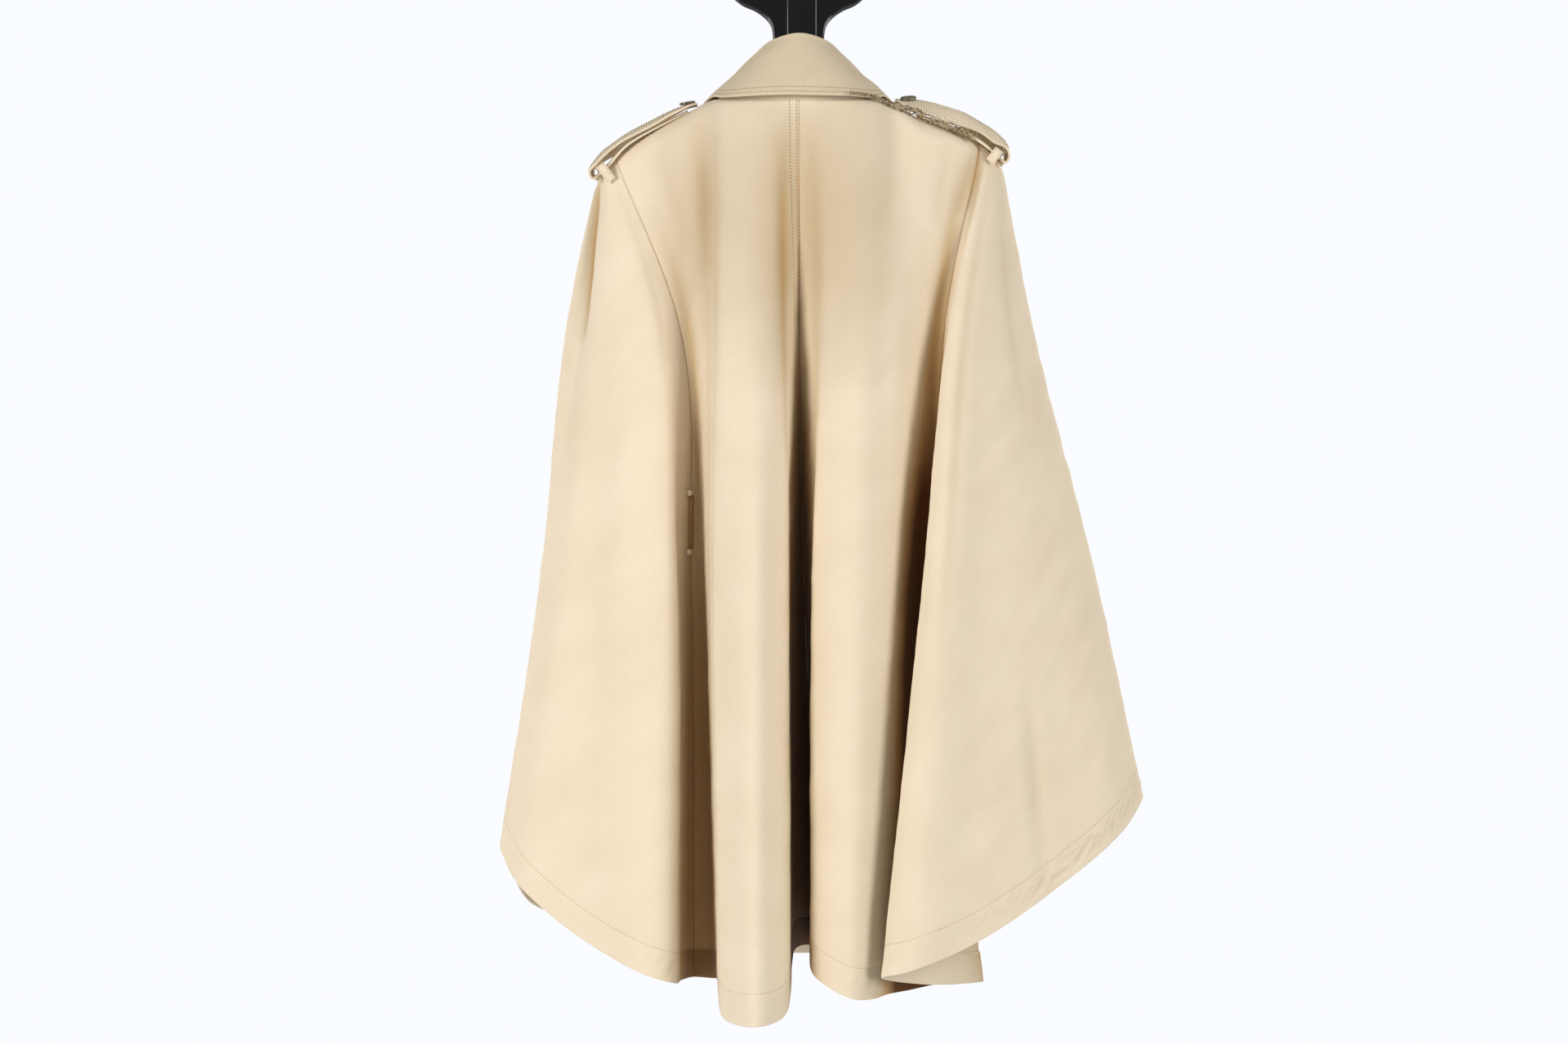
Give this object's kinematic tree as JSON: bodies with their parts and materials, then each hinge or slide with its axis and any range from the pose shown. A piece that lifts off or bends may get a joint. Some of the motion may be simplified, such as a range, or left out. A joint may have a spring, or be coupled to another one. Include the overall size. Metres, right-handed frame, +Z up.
{
  "type": "trench cape on a clothes hanger",
  "caption": "Sleeveless gabardine trench cape with a turned-down collar, shoulder straps and winged sides, hung on a plastic hanger with a steel hook.",
  "frame": {"origin": "inside crown of the hanger's hook, where it bears on its rail", "axes": "+Z up, +X to the wearer's right, +Y to the wearer's front; the back faces -Y"},
  "size_m": [0.6247, 0.2666, 1.0742],
  "materials": {
    "gabardine": "fine cotton twill, matt",
    "button_horn": "polished horn look",
    "stud_thread": "satin stud in the cloth's colour",
    "hanger_plastic": "glossy black moulding",
    "hook_steel": "bright steel wire"
  },
  "bodies": {
    "root": {"back_left": "gabardine", "back_right": "gabardine", "side_left": "gabardine", "side_right": "gabardine", "front_left": "gabardine", "front_right": "gabardine", "collar_fall": "gabardine", "collar_stand": "gabardine", "epaulette_left": "gabardine", "epaulette_right": "gabardine", "epaulette_loop_left": "gabardine", "epaulette_loop_right": "gabardine", "slit_welt_left": "gabardine", "slit_welt_right": "gabardine", "epaulette_button_left": "button_horn", "epaulette_button_right": "button_horn", "front_button_left_1": "button_horn", "front_button_left_2": "button_horn", "front_button_left_3": "button_horn", "front_button_right_1": "button_horn", "front_button_right_2": "button_horn", "front_button_right_3": "button_horn", "slit_stud_left_top": "stud_thread", "slit_stud_left_bottom": "stud_thread", "slit_stud_right_top": "stud_thread", "slit_stud_right_bottom": "stud_thread", "hanger_arms": "hanger_plastic", "hanger_head": "hanger_plastic", "hanger_tongue": "hanger_plastic", "hanger_hook": "hook_steel"}
  },
  "joints": []
}
